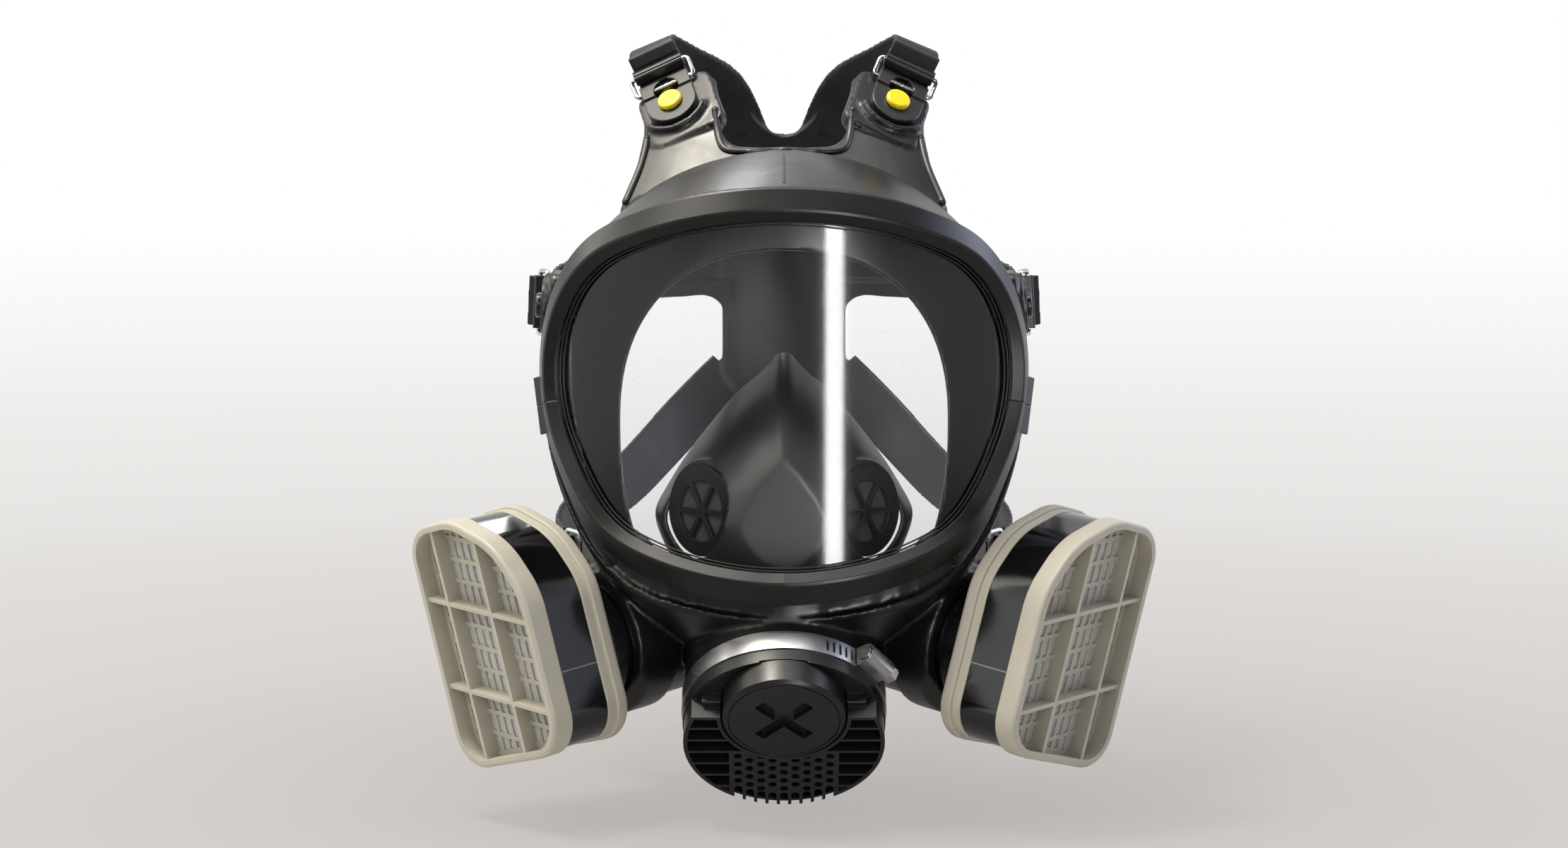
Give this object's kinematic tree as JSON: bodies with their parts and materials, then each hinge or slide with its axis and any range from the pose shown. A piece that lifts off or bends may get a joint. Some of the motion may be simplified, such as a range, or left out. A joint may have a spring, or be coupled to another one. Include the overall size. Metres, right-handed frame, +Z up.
{
  "type": "full face respirator",
  "caption": "Full face respirator: curved clear lens in a two-part frame, rubber facepiece, nose cup, two bayonet cartridges, chin outlet and a buckled head harness.",
  "frame": {"origin": "centre of the opening that seals on the wearer's face", "axes": "+Z up, -Y the way the wearer looks, +X the wearer's left"},
  "size_m": [0.2594, 0.284, 0.2758],
  "materials": {
    "facepiece_rubber": "satin moulded rubber",
    "clear_lens": "clear gloss",
    "frame_plastic": "satin",
    "dark_steel": "blackened",
    "cup_rubber": "soft satin",
    "outlet_plastic": "fine texture",
    "flap_rubber": "matte",
    "band_steel": "brushed",
    "harness_rubber": "grained",
    "button_yellow": "gloss",
    "valve_plastic": "satin",
    "adapter_plastic": "semi-gloss",
    "cartridge_plastic": "fine texture",
    "label_black": "film",
    "media_white": "fibrous",
    "buckle_plastic": "satin",
    "chrome_wire": "polished"
  },
  "bodies": {
    "root": {"face_blank": "facepiece_rubber", "lens": "clear_lens", "lens_frame_upper": "frame_plastic", "lens_frame_lower": "frame_plastic", "frame_screws": "dark_steel", "frame_nuts": "dark_steel", "nose_cup": "cup_rubber", "center_adapter": "outlet_plastic", "outlet_cover": "outlet_plastic", "clamp_band": "band_steel", "clamp_housing": "band_steel", "harness": "harness_rubber", "strap_studs": "button_yellow", "nose_valve_seat_right": "valve_plastic", "inlet_gasket_right": "flap_rubber", "inlet_adapter_right": "adapter_plastic", "nose_valve_seat_left": "valve_plastic", "inlet_gasket_left": "flap_rubber", "inlet_adapter_left": "adapter_plastic"},
    "exhalation_flap": {"exhalation_flap": "flap_rubber"},
    "cap_carrier": {"cap_gasket": "flap_rubber"},
    "port_cap": {"port_cap": "outlet_plastic"},
    "clamp_screw": {"clamp_screw": "band_steel"},
    "nose_valve_flap_right": {"nose_valve_flap_right": "flap_rubber"},
    "inlet_flap_right": {"inlet_flap_right": "flap_rubber"},
    "cartridge_right": {"cartridge_shell_right": "cartridge_plastic", "cartridge_cover_right": "cartridge_plastic", "cartridge_label_right": "label_black", "cartridge_media_right": "media_white"},
    "buckle_top_right": {"buckle_plate_top_right": "buckle_plastic", "strap_end_top_right": "harness_rubber"},
    "bail_top_right": {"buckle_bail_top_right": "chrome_wire", "buckle_bar_top_right": "buckle_plastic"},
    "buckle_temple_right": {"buckle_plate_temple_right": "buckle_plastic", "strap_end_temple_right": "harness_rubber"},
    "bail_temple_right": {"buckle_bail_temple_right": "chrome_wire", "buckle_bar_temple_right": "buckle_plastic"},
    "buckle_cheek_right": {"buckle_plate_cheek_right": "buckle_plastic", "strap_end_cheek_right": "harness_rubber"},
    "bail_cheek_right": {"buckle_bail_cheek_right": "chrome_wire", "buckle_bar_cheek_right": "buckle_plastic"},
    "nose_valve_flap_left": {"nose_valve_flap_left": "flap_rubber"},
    "inlet_flap_left": {"inlet_flap_left": "flap_rubber"},
    "cartridge_left": {"cartridge_shell_left": "cartridge_plastic", "cartridge_cover_left": "cartridge_plastic", "cartridge_label_left": "label_black", "cartridge_media_left": "media_white"},
    "buckle_top_left": {"buckle_plate_top_left": "buckle_plastic", "strap_end_top_left": "harness_rubber"},
    "bail_top_left": {"buckle_bail_top_left": "chrome_wire", "buckle_bar_top_left": "buckle_plastic"},
    "buckle_temple_left": {"buckle_plate_temple_left": "buckle_plastic", "strap_end_temple_left": "harness_rubber"},
    "bail_temple_left": {"buckle_bail_temple_left": "chrome_wire", "buckle_bar_temple_left": "buckle_plastic"},
    "buckle_cheek_left": {"buckle_plate_cheek_left": "buckle_plastic", "strap_end_cheek_left": "harness_rubber"},
    "bail_cheek_left": {"buckle_bail_cheek_left": "chrome_wire", "buckle_bar_cheek_left": "buckle_plastic"}
  },
  "joints": [
    {"name": "exhalation_flap_lift", "type": "slide", "parent": "root", "child": "exhalation_flap", "axis": [0, -0.7431, -0.6691], "range_m": [0, 0.0015], "stiffness_N_per_m": 8},
    {"name": "port_cap_travel", "type": "slide", "parent": "root", "child": "cap_carrier", "axis": [0, -0.7431, -0.6691], "range_m": [0, 0.003]},
    {"name": "port_cap_turn", "type": "hinge", "parent": "cap_carrier", "child": "port_cap", "pos_m": [0, -0.09202, -0.08609], "axis": [0, -0.7431, -0.6691], "range_deg": [0, 360]},
    {"name": "clamp_screw_turn", "type": "hinge", "parent": "root", "child": "clamp_screw", "pos_m": [0.03131, -0.09209, -0.07324], "axis": [0.6018, 0.5344, -0.5935], "continuous": true},
    {"name": "nose_valve_flap_right_lift", "type": "slide", "parent": "root", "child": "nose_valve_flap_right", "axis": [0.6947, 0.7193, 0], "range_m": [0, 0.0015], "stiffness_N_per_m": 8},
    {"name": "inlet_flap_right_lift", "type": "slide", "parent": "root", "child": "inlet_flap_right", "axis": [0.7028, 0.7028, 0.1097], "range_m": [0, 0.0015], "stiffness_N_per_m": 8},
    {"name": "cartridge_right_twist", "type": "hinge", "parent": "root", "child": "cartridge_right", "pos_m": [-0.0763, -0.0673, -0.073], "axis": [-0.7028, -0.7028, -0.1097], "range_deg": [0, 32]},
    {"name": "buckle_top_right_swivel", "type": "hinge", "parent": "root", "child": "buckle_top_right", "pos_m": [-0.042, 0.005, 0.121], "axis": [-0.3349, -0.6806, 0.6517], "range_deg": [-12, 12]},
    {"name": "bail_top_right_lift", "type": "hinge", "parent": "buckle_top_right", "child": "bail_top_right", "pos_m": [-0.04421, 0.01406, 0.12703], "axis": [0.9095, -0.0527, 0.4123], "range_deg": [0, 35]},
    {"name": "buckle_temple_right_swivel", "type": "hinge", "parent": "root", "child": "buckle_temple_right", "pos_m": [-0.0886, -0.014, 0.046], "axis": [-0.9973, -0.0524, 0.0508], "range_deg": [-12, 12]},
    {"name": "bail_temple_right_lift", "type": "hinge", "parent": "buckle_temple_right", "child": "bail_temple_right", "pos_m": [-0.08766, -0.00294, 0.04637], "axis": [0.0528, -0.0377, 0.9979], "range_deg": [0, 35]},
    {"name": "buckle_cheek_right_swivel", "type": "hinge", "parent": "root", "child": "buckle_cheek_right", "pos_m": [-0.072, -0.019, -0.0515], "axis": [-0.9231, -0.3734, -0.0918], "range_deg": [-12, 12]},
    {"name": "bail_cheek_right_lift", "type": "hinge", "parent": "buckle_cheek_right", "child": "bail_cheek_right", "pos_m": [-0.07484, -0.00844, -0.04958], "axis": [-0.0231, -0.1844, 0.9826], "range_deg": [0, 35]},
    {"name": "nose_valve_flap_left_lift", "type": "slide", "parent": "root", "child": "nose_valve_flap_left", "axis": [-0.6947, 0.7193, 0], "range_m": [0, 0.0015], "stiffness_N_per_m": 8},
    {"name": "inlet_flap_left_lift", "type": "slide", "parent": "root", "child": "inlet_flap_left", "axis": [-0.7028, 0.7028, 0.1097], "range_m": [0, 0.0015], "stiffness_N_per_m": 8},
    {"name": "cartridge_left_twist", "type": "hinge", "parent": "root", "child": "cartridge_left", "pos_m": [0.0763, -0.0673, -0.073], "axis": [0.7028, -0.7028, -0.1097], "range_deg": [-32, 0]},
    {"name": "buckle_top_left_swivel", "type": "hinge", "parent": "root", "child": "buckle_top_left", "pos_m": [0.042, 0.005, 0.121], "axis": [0.3349, -0.6806, 0.6517], "range_deg": [-12, 12]},
    {"name": "bail_top_left_lift", "type": "hinge", "parent": "buckle_top_left", "child": "bail_top_left", "pos_m": [0.04421, 0.01406, 0.12703], "axis": [0.9095, 0.0527, -0.4123], "range_deg": [0, 35]},
    {"name": "buckle_temple_left_swivel", "type": "hinge", "parent": "root", "child": "buckle_temple_left", "pos_m": [0.0886, -0.014, 0.046], "axis": [0.9973, -0.0524, 0.0508], "range_deg": [-12, 12]},
    {"name": "bail_temple_left_lift", "type": "hinge", "parent": "buckle_temple_left", "child": "bail_temple_left", "pos_m": [0.08766, -0.00294, 0.04637], "axis": [0.0528, 0.0377, -0.9979], "range_deg": [0, 35]},
    {"name": "buckle_cheek_left_swivel", "type": "hinge", "parent": "root", "child": "buckle_cheek_left", "pos_m": [0.072, -0.019, -0.0515], "axis": [0.9231, -0.3734, -0.0918], "range_deg": [-12, 12]},
    {"name": "bail_cheek_left_lift", "type": "hinge", "parent": "buckle_cheek_left", "child": "bail_cheek_left", "pos_m": [0.07484, -0.00844, -0.04958], "axis": [-0.0231, 0.1844, -0.9826], "range_deg": [0, 35]}
  ],
  "couplings": [
    {"joint": "port_cap_travel", "follows": "port_cap_turn", "m_per_rad": 0.00047746}
  ]
}
